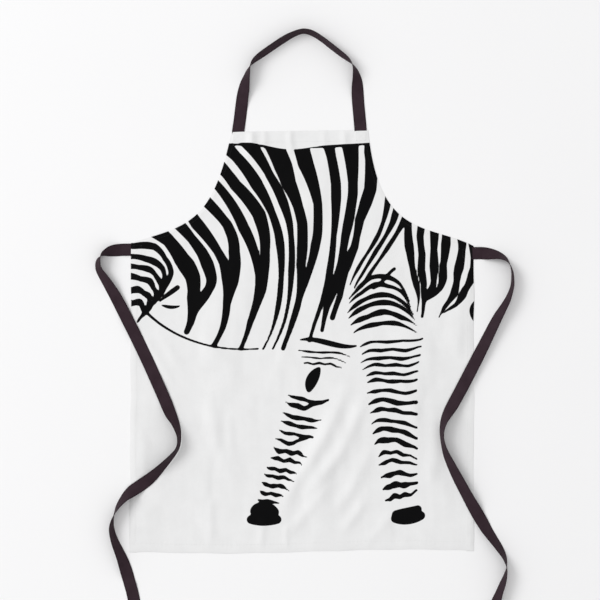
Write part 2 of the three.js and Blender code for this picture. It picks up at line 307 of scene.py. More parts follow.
clothFinish = {
    "threadPitch": 0.00055,
    "light": (0.835, 0.835, 0.837, 1),
    "shade": (0.79, 0.79, 0.792, 1),
    "reverseLight": (0.84, 0.84, 0.835, 1),
    "reverseShade": (0.77, 0.77, 0.765, 1),
    "ink": (0.0026, 0.0026, 0.0029, 1),
    "inkWorn": (0.0062, 0.0060, 0.0063, 1),
    "inkEdge": 0.22,  # millimetres over which the print fades into the threads
    "inkFray": 0.7,
    "slubs": (75, 9, 1),  # per metre: close together across, long down the warp
    "puckerReach": 9.0,  # millimetres from a stitch line
    "creaseDepth": 0.00022, "slubDepth": 0.0001, "puckerDepth": 0.0003, "weaveDepth": 0.00004,
    "gloss": 0.04, "sheen": 0.004,
}


def clothMaterial(name, printed):
    # tone = a quarter slubs + half clouds + a quarter grain; the print is a ramp across
    # depth = 0, frayed by noise, and the cloth sinks over the last 1.6 mm to a seam
    nodes = Nodes(name)
    place, weave = plainWeave(nodes, clothFinish["threadPitch"])
    streaks = nodes.noise(nodes.stretch(place, clothFinish["slubs"]), 1.0)
    clouds = nodes.noise(place, 26.0, 3.0, 0.6)
    grain = nodes.noise(place, 1500.0, 1.0)
    tone = nodes.between(nodes.weigh((streaks, 0.25), (clouds, 0.5), (grain, 0.25)), 0.34, 0.66)
    light, shade = ("light", "shade") if printed else ("reverseLight", "reverseShade")
    color = nodes.blend(tone, clothFinish[shade], clothFinish[light])
    rough = nodes.between(clouds, 0.3, 0.7, 0.8, 0.92)
    if printed:
        depth = nodes.add("Attribute", attribute_name="ink").outputs["Fac"]
        fray = nodes.sum("SUBTRACT", nodes.noise(place, 900.0), 0.5)
        fray = nodes.sum("MULTIPLY", fray, clothFinish["inkFray"])
        depth = nodes.sum("ADD", depth, fray)
        edge = clothFinish["inkEdge"]
        ink = nodes.between(depth, -edge, edge)
        worn = nodes.between(nodes.weigh((weave, 0.25), (grain, 1)), 0.3, 1.0)
        color = nodes.blend(ink, color, nodes.blend(worn, clothFinish["ink"], clothFinish["inkWorn"]))
        rough = nodes.weigh((rough, 1), (ink, -0.16))
    normal = nodes.bump(nodes.noise(place, 140.0), clothFinish["creaseDepth"], 0.5)
    normal = nodes.bump(streaks, clothFinish["slubDepth"], 0.5, normal)
    if printed:
        seam = nodes.add("Attribute", attribute_name="seam").outputs["Fac"]
        groove = nodes.between(seam, 0.2, 1.6)
        ripple = nodes.noise(place, 210.0, 1.0)
        near = nodes.between(seam, 0.0, clothFinish["puckerReach"], 1.0, 0.0)
        pucker = nodes.weigh((groove, 1), (nodes.sum("MULTIPLY", ripple, near), 2.4))
        normal = nodes.bump(pucker, clothFinish["puckerDepth"], 0.35, normal)
    return nodes.shade({
        "Base Color": color, "Roughness": rough,
        "Normal": nodes.bump(weave, clothFinish["weaveDepth"], 0.7, normal),
        "Specular IOR Level": clothFinish["gloss"], "Sheen Weight": clothFinish["sheen"],
        "Sheen Roughness": 0.5,
    })


tapeFinish = {
    "dark": (0.0225, 0.0118, 0.0165, 1),
    "light": (0.044, 0.0262, 0.0345, 1),
    "selvedge": (0.015, 0.0085, 0.0115, 1),
    "ribPitch": 0.0011,  # one herringbone rib along the tape
    "zigzag": 0.0062,  # width of one herringbone column
    "yarnPitch": 0.0007,
    "cordPitch": 0.0009,  # twist of the cord in each selvedge
    "selvedgeFrom": 0.0102, "selvedgeTo": 0.0118,  # out from the middle
    "fuzzDepth": 0.00005, "ribDepth": 0.00007,
    "gloss": 0.12, "sheen": 0.035,
    "sheenTint": (0.75, 0.6, 0.7, 1),
}


def sineOf(nodes, along, pitch):
    # one full wave for each pitch of a length
    return nodes.sum("SINE", nodes.sum("MULTIPLY", along, 2 * math.pi / pitch))


def tapeMaterial():
    # herringbone: the ribs climb at an even slope and turn back at each column,
    # so their height is a sine of (length + |distance into the column|) / pitch
    nodes = Nodes("wovenTape")
    flat = nodes.add("UVMap", uv_map="tapeMap").outputs["UV"]
    axes = nodes.add("SeparateXYZ", {0: flat}).outputs
    column = nodes.sum("PINGPONG", axes[0], tapeFinish["zigzag"])
    climb = nodes.sum("ADD", axes[1], column)
    rib = sineOf(nodes, climb, tapeFinish["ribPitch"])
    yarn = sineOf(nodes, axes[0], tapeFinish["yarnPitch"])
    height = nodes.weigh((rib, 1), (yarn, 0.45))
    fuzz = nodes.noise(flat, 2600.0, 2.0)
    clouds = nodes.noise(flat, 45.0, 2.0)
    tone = nodes.between(nodes.weigh((height, 0.16), (clouds, 0.6), (fuzz, 0.4)), 0.2, 0.85)
    color = nodes.blend(tone, tapeFinish["dark"], tapeFinish["light"])
    out = nodes.sum("ABSOLUTE", axes[0])
    edge = nodes.between(out, tapeFinish["selvedgeFrom"], tapeFinish["selvedgeTo"])
    color = nodes.blend(nodes.sum("MULTIPLY", edge, 0.7), color, tapeFinish["selvedge"])
    cord = sineOf(nodes, axes[1], tapeFinish["cordPitch"])
    height = nodes.weigh((height, 1), (nodes.sum("MULTIPLY", cord, edge), 1.2))
    normal = nodes.bump(fuzz, tapeFinish["fuzzDepth"], 0.5)
    return nodes.shade({
        "Base Color": color, "Roughness": nodes.between(fuzz, 0.3, 0.7, 0.68, 0.86),
        "Normal": nodes.bump(height, tapeFinish["ribDepth"], 0.8, normal),
        "Specular IOR Level": tapeFinish["gloss"], "Sheen Weight": tapeFinish["sheen"],
        "Sheen Roughness": 0.35, "Sheen Tint": tapeFinish["sheenTint"],
    })


threadFinish = {
    "light": (0.84, 0.84, 0.835, 1),
    "shade": (0.7, 0.7, 0.69, 1),
    "ink": (0.009, 0.009, 0.0095, 1),
    "ply": 0.00042,  # twist length of the sewing thread
    "plyDepth": 0.00005,
    "gloss": 0.35, "sheen": 0.05,
}


def threadMaterial(name, dark=False):
    # the two plies show as slanting bands: a sine of x + y + 1.5 z
    nodes = Nodes(name)
    place = nodes.add("TexCoord").outputs["Object"]
    axes = nodes.add("SeparateXYZ", {0: place}).outputs
    slant = nodes.weigh((axes[0], 1), (axes[1], 1), (axes[2], 1.5))
    ply = sineOf(nodes, slant, threadFinish["ply"])
    fuzz = nodes.noise(place, 2400.0, 2.0)
    tone = nodes.between(nodes.weigh((ply, 0.2), (fuzz, 1)), 0.2, 0.8)
    if dark:
        color = nodes.blend(tone, tapeFinish["dark"], tapeFinish["light"])
    else:
        color = nodes.blend(tone, threadFinish["shade"], threadFinish["light"])
        depth = nodes.add("Attribute", attribute_name="ink").outputs["Fac"]
        color = nodes.blend(nodes.between(depth, -0.3, 0.3), color, threadFinish["ink"])
    return nodes.shade({
        "Base Color": color, "Roughness": nodes.between(fuzz, 0.3, 0.7, 0.5, 0.68),
        "Normal": nodes.bump(ply, threadFinish["plyDepth"], 0.7),
        "Specular IOR Level": threadFinish["gloss"], "Sheen Weight": threadFinish["sheen"],
    })


labelFinish = {
    "light": (0.88, 0.88, 0.87, 1),
    "shade": (0.8, 0.8, 0.78, 1),
    "ribPitch": 0.0004,
    "ribDepth": 0.00002,
    "sheen": 0.08,
}


def labelMaterial():
    # satin ribbon: a sine of the length for its fine ribs, over faint clouds
    nodes = Nodes("satinLabel")
    place = nodes.add("TexCoord").outputs["Object"]
    axes = nodes.add("SeparateXYZ", {0: place}).outputs
    ribs = sineOf(nodes, axes[1], labelFinish["ribPitch"])
    clouds = nodes.noise(place, 60.0, 2.0)
    tone = nodes.between(nodes.weigh((ribs, 0.15), (clouds, 1)), 0.3, 0.7)
    return nodes.shade({
        "Base Color": nodes.blend(tone, labelFinish["shade"], labelFinish["light"]),
        "Roughness": nodes.between(clouds, 0.3, 0.7, 0.34, 0.48),
        "Normal": nodes.bump(ribs, labelFinish["ribDepth"], 0.6),
        "Sheen Weight": labelFinish["sheen"],
    })


printedCloth = clothMaterial("printedCloth", True)
plainCloth = clothMaterial("clothReverse", False)
wovenTape = tapeMaterial()
sewingThread = threadMaterial("sewingThread")
darkThread = threadMaterial("tapeThread", True)
satinLabel = labelMaterial()
print("stage: materials")

tapePlan = {
    "width": 0.025,
    "thickness": 0.001,
    "rim": 0.0004,  # roundness of the selvedges
    "columns": 7,  # points across one face
    "steps": 7,  # sections between two route points
    "neckTuck": 0.021,  # inside the top hem
    "tieTuck": 0.024,  # inside the side hem
    "sewnHeight": 0.0005,
    "rideHeight": 0.0029,  # top of the cloth where a tie lies on the panel
    "edgeRamp": 0.030,
    "loopHeight": 0.2089,
    "joinGap": 0.0003,  # between a tape's sewn end and its free run
}


def middleOf(node, axis):
    # half the sum of the two ends of a node's box
    low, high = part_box(node)
    return (low[axis] + high[axis]) / 2


# What the CAD gives
panelLow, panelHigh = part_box("front_panel")
halfPanel = panelHigh.x
bottomY, bibTop = panelLow.y, panelHigh.y
leftSeam = np.array([-halfPanel - tapePlan["joinGap"], middleOf("left_tie_end", 1)])
rightSeam = np.array([halfPanel + tapePlan["joinGap"], middleOf("right_tie_end", 1)])
leftStrapX, rightStrapX = middleOf("neck_strap_left_end", 0), middleOf("neck_strap_right_end", 0)

# Each row: share of half the strap spacing, share of the loop's height, turn in degrees
neckRoute = [
    [-1, 0, 0], [-0.975, 0.107, 0], [-0.952, 0.219, 0], [-0.929, 0.329, -11],
    [-0.907, 0.401, -22], [-0.888, 0.462, -38], [-0.862, 0.523, -56], [-0.838, 0.576, -69],
    [-0.807, 0.624, -84], [-0.76, 0.665, -99], [-0.683, 0.707, -109],
    [-0.569, 0.756, -114], [-0.422, 0.817, -114], [-0.265, 0.879, -114],
    [-0.102, 0.932, -108], [0.061, 0.962, -104], [0.211, 0.942, -107],
    [0.363, 0.887, -107], [0.518, 0.816, -108], [0.669, 0.746, -107], [0.783, 0.693, -100],
    [0.865, 0.641, -83], [0.909, 0.588, -65], [0.93, 0.538, -50], [0.943, 0.487, -35],
    [0.947, 0.421, -18], [0.953, 0.34, -5], [0.966, 0.233, 0], [0.984, 0.117, 0],
    [1, 0, 0],
]

# Each row: metres out from the panel's edge, metres up from the seam, turn in degrees
leftTieRoute = [
    [0, 0, 180], [0.0179, -0.0003, 180], [0.0347, -0.0024, 156], [0.0457, -0.0059, 130],
    [0.0536, -0.0093, 107], [0.0596, -0.0144, 82], [0.064, -0.023, 63],
    [0.0647, -0.0338, 57], [0.061, -0.0445, 50], [0.0527, -0.0576, 41],
    [0.0411, -0.0761, 28], [0.0273, -0.1002, 13], [0.0076, -0.1386, 0],
    [-0.0139, -0.1816, 0], [-0.0352, -0.2261, 0], [-0.0545, -0.2691, 1],
    [-0.07, -0.3045, -2], [-0.0822, -0.3323, -28], [-0.0916, -0.3498, -52],
    [-0.0977, -0.3655, -64], [-0.1004, -0.3784, -74], [-0.1004, -0.3917, -77],
    [-0.0974, -0.4037, -76], [-0.0901, -0.4147, -70], [-0.0794, -0.4272, -62],
    [-0.0621, -0.4453, -48], [-0.0421, -0.4644, -24], [-0.023, -0.4791, 0],
    [-0.0067, -0.4899, 15], [0.0065, -0.5, 43], [0.0182, -0.5133, 61],
    [0.0261, -0.5252, 72], [0.0324, -0.5396, 86], [0.0359, -0.5529, 98],
    [0.0367, -0.5688, 108], [0.0305, -0.5932, 119], [0.0152, -0.6306, 142],
    [0.0029, -0.6738, 180], [-0.0072, -0.7137, 180], [-0.0196, -0.7921, 180],
]
rightTieRoute = [
    [0, 0, 0], [0.0174, 0, 0], [0.0338, -0.0016, -25], [0.0485, -0.0043, -48],
    [0.0611, -0.0099, -64], [0.0684, -0.017, -76], [0.0732, -0.0259, -84],
    [0.077, -0.0399, -91], [0.0776, -0.0587, -97], [0.0761, -0.07, -100],
    [0.0723, -0.0825, -105], [0.0665, -0.0968, -113], [0.0576, -0.1132, -122],
    [0.0449, -0.1359, -135], [0.021, -0.1846, -150], [-0.0037, -0.2333, -165],
    [-0.0259, -0.2759, -164], [-0.0434, -0.3078, -156], [-0.0529, -0.3231, -140],
    [-0.0609, -0.3385, -122], [-0.0654, -0.3538, -110], [-0.0666, -0.369, -103],
    [-0.0645, -0.3847, -104], [-0.0607, -0.3992, -111], [-0.0539, -0.4167, -123],
    [-0.0356, -0.4539, -141], [-0.01, -0.5013, -154], [0.0128, -0.5408, -185],
    [0.0265, -0.5641, -208], [0.0391, -0.5826, -223], [0.0516, -0.6007, -233],
    [0.0612, -0.618, -246], [0.0657, -0.6374, -262], [0.0628, -0.6558, -277],
    [0.0567, -0.6742, -290], [0.0496, -0.6935, -298], [0.0402, -0.7239, -325],
    [0.0353, -0.7564, -360], [0.0328, -0.7921, -360], [0.0306, -0.8158, -360],
]


def tapeProfile():
    # a flat band seen end on: two straight faces joined by half-round selvedges
    half, thick, rim = tapePlan["width"] / 2, tapePlan["thickness"] / 2, tapePlan["rim"]
    face = np.linspace(half - rim, rim - half, tapePlan["columns"])
    bow = np.radians([30, 60, 90, 120, 150])
    left = np.stack([-half + rim - rim * np.sin(bow), thick * np.cos(bow)], 1)
    top = np.stack([face, np.full(len(face), thick)], 1)
    return np.vstack([top, left, -top, -left])


def carryProfile(name, centre, across, through, profile, material):
    # each section is centre + across * a + through * b for the profile's points (a, b),
    # closed at both ends; the UV is a across and the running length along
    sections = (
        centre[:, None] + across[:, None] * profile[None, :, :1] + through[:, None] * profile[None, :, 1:]
    )
    count, corners = sections.shape[:2]
    flat = np.stack([np.tile(profile[:, 0], count), np.repeat(alongLine(centre), corners)], 1)
    points = sections.reshape(-1, 3)
    return newPiece(name, points, tubeFaces(count, corners), material, closed=True, flat=flat)


def tapeFrame(rows):
    # rows of x, y, ground and turn become the tape's centre line, its width direction
    # (-ty cos turn, tx cos turn, sin turn) and the direction through it; the centre is
    # raised until the lower edge touches the ground
    path = routeCurve(rows, tapePlan["steps"])
    slope = unit(np.gradient(path[:, :2], axis=0))
    turn = np.radians(path[:, 3])
    across = np.stack([-slope[:, 1] * np.cos(turn), slope[:, 0] * np.cos(turn), np.sin(turn)], 1)
    along = np.column_stack([slope, np.zeros(len(slope))])
    through = np.cross(along, across)
    centre = path[:, :3].copy()
    centre[:, 2] += np.abs(across[:, 2]) * tapePlan["width"] / 2
    centre[:, 2] += np.abs(through[:, 2]) * tapePlan["thickness"] / 2
    return centre, across, through


def neckRows():
    # x = middle + share * half the spacing, y = seam + share * the loop's height, with two
    # more rows at each end, down inside the hem
    middle, half = (leftStrapX + rightStrapX) / 2, (rightStrapX - leftStrapX) / 2
    route = np.array(neckRoute, float)
    x = middle + route[:, 0] * half
    y = bibTop + tapePlan["joinGap"] + route[:, 1] * tapePlan["loopHeight"]
    rows = np.column_stack([x, y, np.zeros(len(route)), route[:, 2]])
    rows[[0, -1], 2] = tapePlan["sewnHeight"]
    tucked = [[0, -tapePlan["neckTuck"], 0, 0], [0, -tapePlan["neckTuck"] / 2, 0, 0]]
    return np.vstack([rows[0] + tucked, rows, rows[-1] + tucked[::-1]])


def tieRows(side, seam, route):
    # a tie lies on the table, and climbs onto the panel where it passes back over it
    route = np.array(route, float)
    x, y = seam[0] + side * route[:, 0], seam[1] + route[:, 1]
    ramp = tapePlan["edgeRamp"]
    sideways = ease((halfPanel + ramp - np.abs(x)) / ramp)
    below = ease((y - bottomY + ramp) / ramp)
    ground = tapePlan["rideHeight"] * sideways * below * (route[:, 1] < -0.05)
    ground[0] = tapePlan["sewnHeight"]
    rows = np.column_stack([x, y, ground, route[:, 2]])
    tuck = tapePlan["tieTuck"]
    tucked = np.array([[-side * tuck, 0, 0, 0], [-side * tuck / 2, 0, 0, 0]])
    return np.vstack([rows[0] + tucked, rows])


tipPlan = {
    "fold": 0.012, "gap": 0.0001,
    "stitchPitch": 0.0028, "stitchLine": 0.009, "stitchHalf": 0.0112, "rowGap": 0.0025,
}


def foldedTip(name, centre, across):
    # the last stretch folded back on top: straight back, round a half circle and down
    # onto the tie's end
    end, before = centre[-1], centre[-4]
    out = end - before
    out[2] = 0
    out = unit(out)
    thick = tapePlan["thickness"] + tipPlan["gap"]
    bow = np.radians(np.linspace(90, -90, 9))
    ahead = np.concatenate([np.linspace(-tipPlan["fold"], -0.001, 6), thick / 2 * np.cos(bow)])
    level = np.concatenate([np.full(6, thick), thick / 2 + thick / 2 * np.sin(bow)])
    line = end + np.outer(ahead, out) + np.outer(level, [0, 0, 1])
    slope = unit(np.gradient(line, axis=0))
    width = unit(across[-1] * [1, 1, 0])
    wide = np.tile(width, (len(line), 1))
    return carryProfile(name, line, wide, np.cross(slope, wide), tapeProfile(), wovenTape), end, out, width


neckFrame = tapeFrame(neckRows())
neckLoop = carryProfile("neck_loop_tape", *neckFrame, tapeProfile(), wovenTape)
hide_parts("neck_strap", "neck_strap_left_end", "neck_strap_right_end")
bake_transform(neckLoop)

ties = {}
for name, side, seam, route in (("left", -1, leftSeam, leftTieRoute), ("right", 1, rightSeam, rightTieRoute)):
    line, wide, through = tapeFrame(tieRows(side, seam, route))
    tie = carryProfile(f"{name}_waist_tape", line, wide, through, tapeProfile(), wovenTape)
    tip, end, out, width = foldedTip(f"{name}_tape_tip", line, wide)
    ties[name] = {
        "tape": tie, "tip": tip, "line": line, "end": end, "out": out, "width": width,
        "side": side, "seam": seam,
    }
    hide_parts(f"{name}_tie", f"{name}_tie_end")
    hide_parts(f"{name}_tie_tip")
print("stage: tapes")

panelPlan = {
    # corners and curve handles of the cut cloth, as it lies
    "leftArmhole": [(-0.1440, 0.3236), (-0.1815, 0.1410), (-0.2291, 0.1308), (-0.3490, 0.0978)],
    "rightArmhole": [(0.1344, 0.3277), (0.1564, 0.1031), (0.2565, 0.1377), (0.3497, 0.0907)],
    "leftFoot": (-0.3521, -0.5346),
    "rightFoot": (0.3503, -0.5315),
    "armholeRows": 118,
    "skirtRows": 226,
    "columns": 250,
    "roll": 0.0006,  # radius of the turned edge
    "single": 0.0014,  # top of the cloth where it is one layer
    "hemmed": 0.0017,  # and over the hems
    "edgeDrop": 0.0009,  # how much lower the cloth is along its edges
    "tapeLump": 0.00045,  # extra height over a tape's sewn end
    "underside": 0.00006,  # level of the edge where it is turned under
    "turnIn": 0.003,
    "backingStep": 3, "backingDepth": 0.00062,
}

# Each edge's hem: its width, which way along the edge's left-hand normal is inwards, the
# level of its underside, its seam's puckers and what the stitching leaves off at each end
hemPlan = {
    "top": {"width": 0.025, "way": -1, "base": 0.00007, "pucker": 0.00004, "trim": (0.009, 0.009)},
    "bottom": {"width": 0.020, "way": 1, "base": 0.00007, "pucker": 0.00026, "trim": (0.0015, 0.0015)},
    "leftSide": {"width": 0.015, "way": 1, "base": 0.0001, "pucker": 0.00005, "trim": (0.024, 0.019)},
    "rightSide": {"width": 0.015, "way": -1, "base": 0.0001, "pucker": 0.00006, "trim": (0.024, 0.019)},
    "leftArmhole": {"width": 0.010, "way": 1, "base": 0.00014, "pucker": 0.00006, "trim": (0.024, 0.026)},
    "rightArmhole": {"width": 0.010, "way": -1, "base": 0.00014, "pucker": 0.00007, "trim": (0.024, 0.026)},
}
stitchInset = 0.0025  # from a hem's inner edge

# Soft creases left by folding and handling: each one's line, height and spread
foldPlan = [
    ([(-0.178, -0.165), (-0.184, -0.258), (-0.168, -0.326), (-0.121, -0.421)], 0.0050, 0.017),
    ([(-0.150, -0.230), (-0.142, -0.330), (-0.105, -0.400)], 0.0024, 0.012),
    ([(0.101, -0.165), (0.043, -0.299), (-0.025, -0.413), (-0.045, -0.510)], 0.0062, 0.016),
    ([(0.140, -0.190), (0.083, -0.319), (0.037, -0.381), (-0.002, -0.440)], 0.0054, 0.015),
    ([(0.146, -0.300), (0.104, -0.398), (0.052, -0.468)], 0.0036, 0.014),
    ([(0.060, -0.390), (0.006, -0.455), (-0.040, -0.515)], 0.0026, 0.012),
    ([(0.133, -0.420), (0.105, -0.462), (0.078, -0.500)], 0.0034, 0.012),
    ([(0.196, -0.440), (0.156, -0.488), (0.120, -0.528)], 0.0022, 0.012),
    ([(0.262, -0.240), (0.270, -0.340), (0.246, -0.420)], 0.0026, 0.016),
    ([(-0.186, -0.415), (-0.187, -0.470), (-0.185, -0.530)], 0.0026, 0.010),
    ([(-0.075, -0.455), (-0.083, -0.500), (-0.080, -0.532)], 0.0024, 0.009),
    ([(-0.031, -0.470), (-0.033, -0.500), (-0.030, -0.532)], 0.0020, 0.007),
    ([(-0.335, -0.070), (-0.290, -0.150), (-0.243, -0.224)], 0.0020, 0.010),
    ([(-0.300, -0.075), (-0.262, -0.135), (-0.225, -0.180)], 0.0016, 0.009),
    ([(0.180, -0.150), (0.225, -0.230), (0.235, -0.330)], 0.0018, 0.014),
    ([(-0.108, 0.334), (-0.103, 0.308), (-0.110, 0.262)], 0.0042, 0.009),
    ([(-0.078, 0.334), (-0.076, 0.308), (-0.080, 0.282)], 0.0014, 0.007),
    ([(-0.023, 0.334), (-0.024, 0.308), (-0.018, 0.272)], 0.0028, 0.007),
    ([(0.042, 0.334), (0.044, 0.308), (0.040, 0.282)], 0.0012, 0.007),
    ([(0.088, 0.334), (0.086, 0.308), (0.092, 0.262)], 0.0030, 0.009),
]

# Ripples of loose cloth: length across, height and how far they turn from the upright
ripplePlan = [
    (0.31, 0.0011, 1.5), (0.19, 0.0010, 1.0), (0.12, 0.0008, 0.8), (0.075, 0.00045, 0.7),
    (0.048, 0.00024, 0.5), (0.031, 0.00009, 0.4),
]
rippleSeed = 7


def edgeLine(armhole, foot):
    # a side's edge, evenly stepped down the armhole's curve and then down the skirt
    curve = evenLine(bezier(panelPlan[armhole], np.linspace(0, 1, 400)), panelPlan["armholeRows"] + 1)
    straight = evenLine(np.array([panelPlan[armhole][3], panelPlan[foot]]), panelPlan["skirtRows"] + 1)
    return np.vstack([curve, straight[1:]])


leftLine = edgeLine("leftArmhole", "leftFoot")
rightLine = edgeLine("rightArmhole", "rightFoot")


wanderPlan = {
    # height, radians down the whole edge and start of each sine
    "left": [(0.0007, 31, 0), (0.0004, 67, 1)],
    "right": [(0.0008, 27, 2), (0.0004, 59, 0)],
    "corner": 0.36, "fadeIn": 0.08, "fadeOut": 0.04,  # shares of the edge
}
sagPlan = {
    "mean": 0.0008,
    # height, wavelength and start of each sine
    "slow": (0.0032, 0.68, 0.03),
    "quick": (0.0005, 0.11, 0.7),
    "reach": 0.07,  # up from the bottom edge
    "corner": 0.03,  # in from a side edge
}


def wanderEdges():
    # the side edges waver by under a millimetre: sines of the distance down, faded in
    # below the corners
    plan = wanderPlan
    down = np.linspace(0, 1, len(leftLine))
    fade = ease((down - plan["corner"]) / plan["fadeIn"]) * ease((1 - down) / plan["fadeOut"])
    for line, waves in ((leftLine, plan["left"]), (rightLine, plan["right"])):
        line[:, 0] += fade * sum(tall * np.sin(down * rate + start) for tall, rate, start in waves)


def hemSag(x):
    # height change of the bottom edge: one slow sine across the skirt and a faint quick one
    tall, length, start = sagPlan["slow"]
    slow = sagPlan["mean"] + tall * np.sin(2 * math.pi * (x - start) / length)
    tall, length, start = sagPlan["quick"]
    return slow + tall * np.sin(2 * math.pi * x / length + start)


def sagged(spots):
    # the sag fades out above the bottom edge and towards the corners
    moved = np.array(spots, float)
    fade = ease(1 - (moved[..., 1] - bottomY) / sagPlan["reach"])
    edge = ease((halfPanel - np.abs(moved[..., 0])) / sagPlan["corner"])
    moved[..., 1] += hemSag(moved[..., 0]) * fade * edge
    return moved


wanderEdges()
topLine = evenLine(np.array([leftLine[0], rightLine[0]]), 200)
bottomLine = sagged(evenLine(np.array([leftLine[-1], rightLine[-1]]), 300))
cornerRow = panelPlan["armholeRows"]
outline = {
    "top": topLine,
    "bottom": bottomLine,
    "leftArmhole": evenLine(leftLine[:cornerRow + 1], 200),
    "rightArmhole": evenLine(rightLine[:cornerRow + 1], 200),
    "leftSide": evenLine(leftLine[cornerRow:], 300),
    "rightSide": evenLine(rightLine[cornerRow:], 300),
}


def inset(part, distance):
    # an edge line moved into the panel along its normal
    line = outline[part]
    return line + leftward(np.gradient(line, axis=0)) * hemPlan[part]["way"] * distance


def stitchLine(part, hem):
    # the line inside a hem's inner edge, in 240 even points between its two trimmed ends
    line = inset(part, hem["width"] - stitchInset)
    run = alongLine(line)
    first, last = hem["trim"]
    return readOff(line, run, np.linspace(first, run[-1] - last, 240))


seams = {part: stitchLine(part, hem) for part, hem in hemPlan.items()}


def within(spots, line, reach):
    # nearest() only for the spots in the line's own box grown by a reach
    gap = np.full(len(spots), reach)
    share = np.zeros(len(spots))
    low, high = line.min(0) - reach, line.max(0) + reach
    close = np.where(((spots > low) & (spots < high)).all(1))[0]
    if len(close):
        gap[close], share[close] = nearest(spots[close], line)
    return np.minimum(gap, reach), share


tieLines = [tie["line"][tapePlan["steps"] * 6::6, :2] for tie in ties.values()]
foldLines = [evenLine(routeCurve(line, 30), 80) for line, tall, spread in foldPlan]
sewnNodes = ("neck_strap_left_end", "neck_strap_right_end", "left_tie_end", "right_tie_end")
sewnTapes = [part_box(node) for node in sewnNodes]

reliefPlan = {
    "edgeReach": 0.04,  # how far in from an edge its nearness is measured
    "hemSpill": 0.003, "hemStep": 0.008,  # the cloth stays up past a hem, then comes down
    "edgeStep": 0.008,
    "lumpSpill": 0.001, "lumpStep": 0.003,
    "loose": 0.25, "looseStep": 0.035,  # ripples are held down along the edges
    "foldStart": 0.3, "foldEnd": 0.35, "foldReach": 3,  # shares of its length, and spreads
    "lean": 0.25, "bend": 1.5, "meander": 1.3,
    "pressed": 0.3, "pressFrom": 0.014, "pressStep": 0.04, "pressReach": 0.06,  # under a tie
    "contact": 0.0004,  # roundness where a ripple meets the table
    "puckerReach": 0.012, "puckerPitch": 0.0078, "puckerDrift": 0.021, "grooveWidth": 0.0016,
}


def clothHeight(spots):
    # top of the cloth: one layer, raised over the hems and the sewn tapes, plus a
    # bell-shaped ridge along each crease, small puckers by the seams and ripples, a sum of
    # sines of which only the upper half stands up, as the lower half meets the table
    plan = reliefPlan
    spots = np.asarray(spots, float)
    x, y = spots.T
    hemmed = np.zeros(len(spots))
    edge = np.full(len(spots), plan["edgeReach"])
    for part, hem in hemPlan.items():
        gap = within(spots, outline[part], plan["edgeReach"])[0]
        hemmed = np.maximum(hemmed, ease((hem["width"] + plan["hemSpill"] - gap) / plan["hemStep"]))
        edge = np.minimum(edge, gap)
    height = panelPlan["single"] + (panelPlan["hemmed"] - panelPlan["single"]) * hemmed
    height -= panelPlan["edgeDrop"] * (1 - ease(edge / plan["edgeStep"]))
    for low, high in sewnTapes:
        gaps = np.minimum(x - low.x, high.x - x), np.minimum(y - low.y, high.y - y)
        overX, overY = (ease((gap + plan["lumpSpill"]) / plan["lumpStep"]) for gap in gaps)
        height += panelPlan["tapeLump"] * overX * overY
    loose = plan["loose"] + (1 - plan["loose"]) * ease(edge / plan["looseStep"])
    for (route, tall, spread), line in zip(foldPlan, foldLines):
        reach = spread * plan["foldReach"]
        gap, share = within(spots, line, reach)
        taper = ease(share / plan["foldStart"]) * ease((1 - share) / plan["foldEnd"])
        height += tall * np.exp(-(gap / spread)**2) * taper * (gap < reach)
    rng = np.random.default_rng(rippleSeed)
    swell = np.zeros(len(spots))
    for size, tall, spread in ripplePlan:
        for _ in range(2):
            angle, phase = rng.uniform(-spread, spread) + plan["lean"], rng.uniform(0, 2 * math.pi)
            bend = rng.uniform(-plan["bend"], plan["bend"])
            across = x * math.cos(angle) + y * math.sin(angle)
            along = -x * math.sin(angle) + y * math.cos(angle)
            meander = bend * np.sin(along / size * plan["meander"] + phase)
            swell += tall * np.sin(2 * math.pi * across / size + phase + meander)
    pressed = np.ones(len(spots))
    for line in tieLines:
        free = ease((within(spots, line, plan["pressReach"])[0] - plan["pressFrom"]) / plan["pressStep"])
        pressed *= plan["pressed"] + (1 - plan["pressed"]) * free
    height += loose * pressed * (swell + np.sqrt(swell**2 + plan["contact"]**2)) / 2
    for part, line in seams.items():
        gap, share = within(spots, line, plan["puckerReach"])
        run = share * alongLine(line)[-1]
        wave = np.sin(2 * math.pi * run / plan["puckerPitch"] + 1.6 * np.sin(run / plan["puckerDrift"]))
        wave -= np.exp(-(gap / plan["grooveWidth"])**2)
        height += hemPlan[part]["pucker"] * wave * ease(1 - gap / plan["puckerReach"])
    return height


